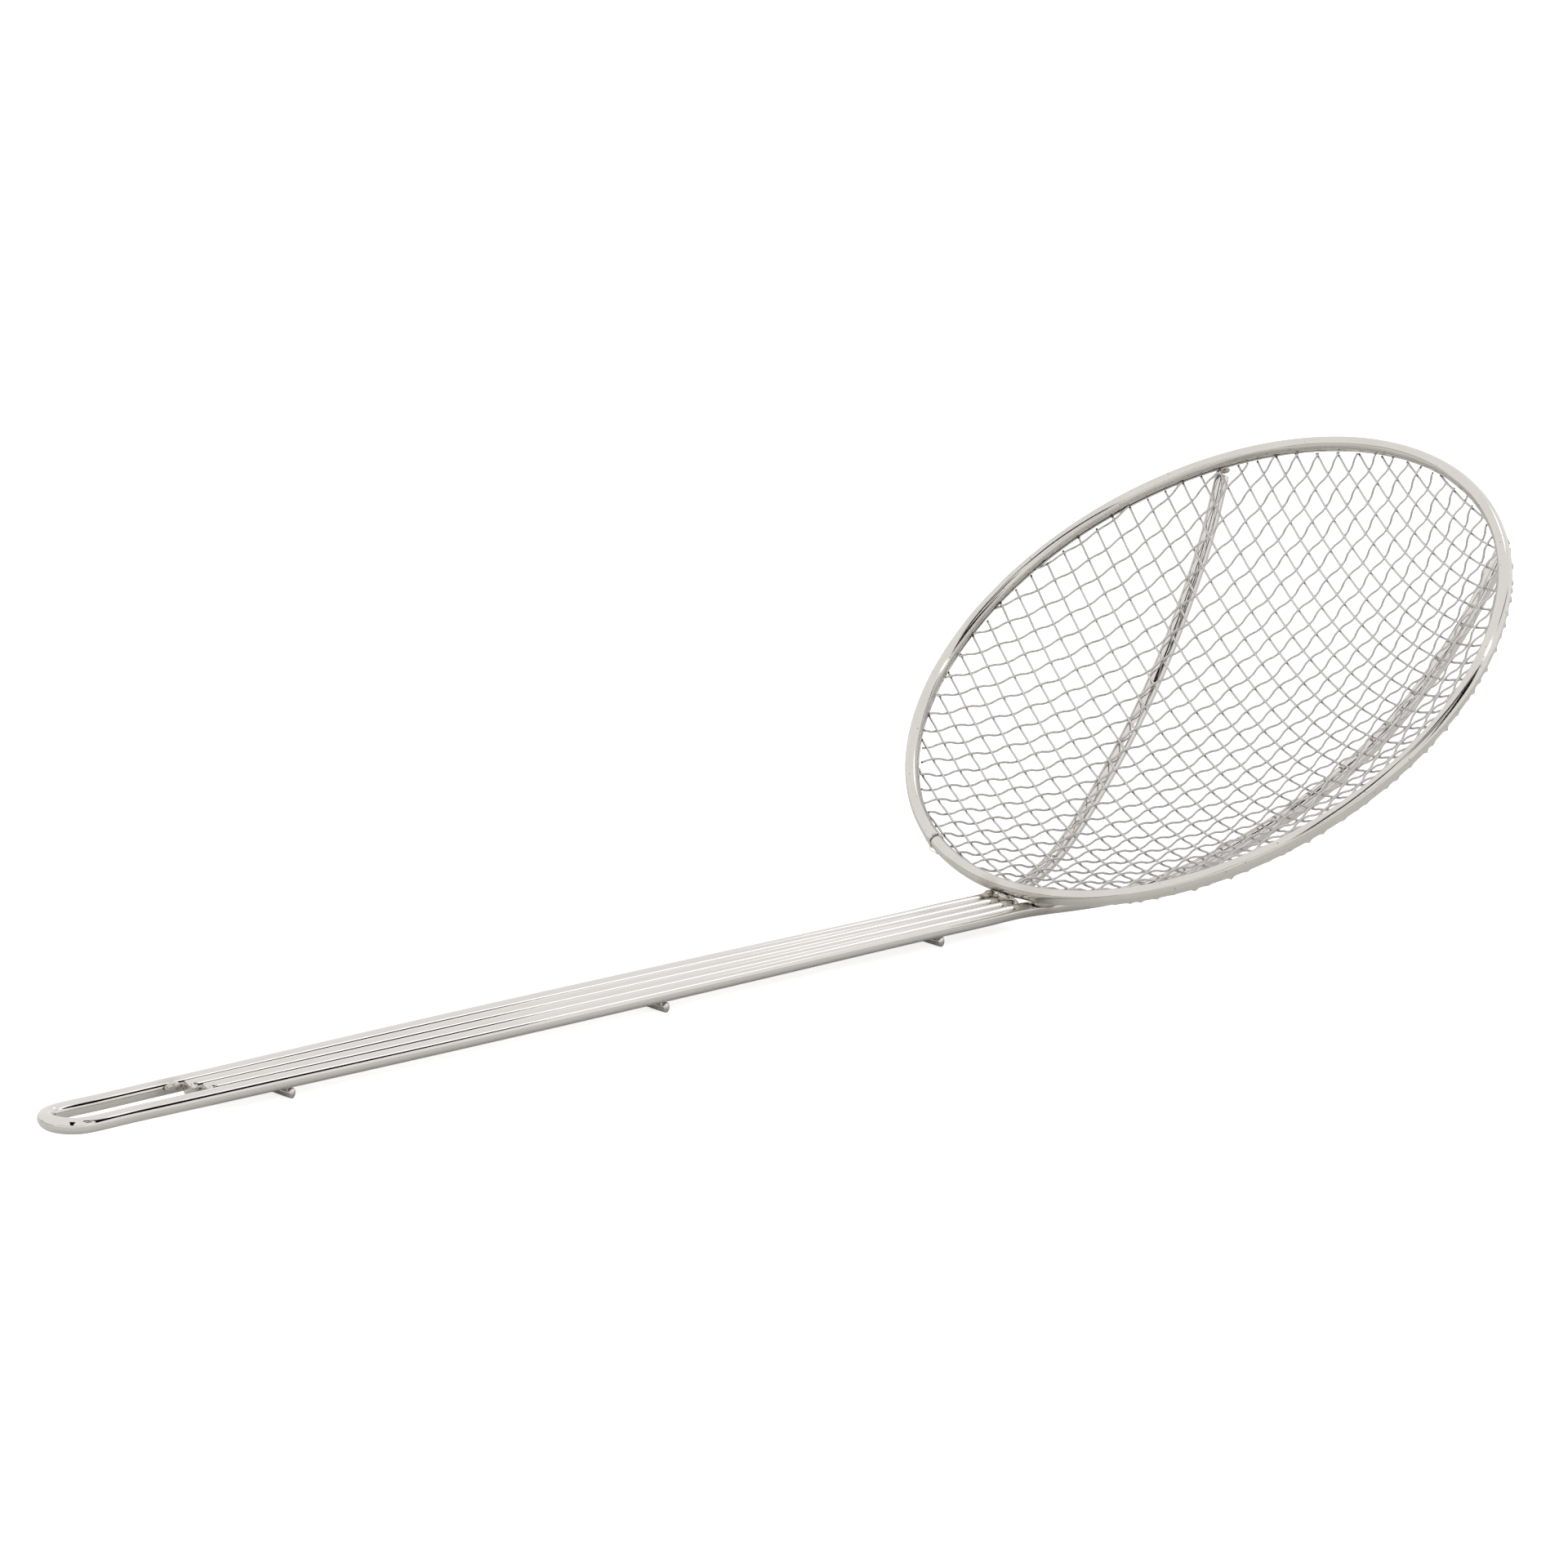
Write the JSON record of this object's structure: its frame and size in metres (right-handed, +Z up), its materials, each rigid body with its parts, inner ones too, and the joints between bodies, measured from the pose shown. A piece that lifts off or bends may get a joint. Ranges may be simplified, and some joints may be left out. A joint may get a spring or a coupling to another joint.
{
  "type": "mesh skimmer",
  "caption": "Long-handled wire skimmer: dished square-woven mesh in a rolled rim, on ribs and a flat handle of round rods ending in a hanging loop.",
  "frame": {"origin": "middle of the bounding box in X and Y, on the table the skimmer lies on", "axes": "+X runs from the hanging loop toward the bowl, +Y is toward the far side in the picture, +Z is up; the skimmer lies on its cross bars with the bowl open upward and toward the handle"},
  "size_m": [0.53, 0.2032, 0.1278],
  "materials": {
    "plated_rod": "nickel-plated, bright",
    "plated_strip": "nickel-plated, bright",
    "plated_mesh": "nickel-plated, bright",
    "hoop_wire": "plain steel wire",
    "weld": "plated over the weld, slightly rough, straw tint"
  },
  "bodies": {
    "root": {"hairpin_rod": "plated_rod", "inner_rod_far": "plated_rod", "inner_rod_near": "plated_rod", "cross_bar_loop_end": "plated_rod", "cross_bar_middle": "plated_rod", "cross_bar_bowl_end": "plated_rod", "rim_band": "plated_strip", "rim_hoop": "hoop_wire", "mesh_bowl": "plated_mesh", "weld_leg_far": "weld", "weld_leg_near": "weld", "weld_inner_rods": "weld", "weld_rib_far": "weld", "weld_rib_near": "weld", "weld_loop_end": "weld"}
  },
  "joints": []
}
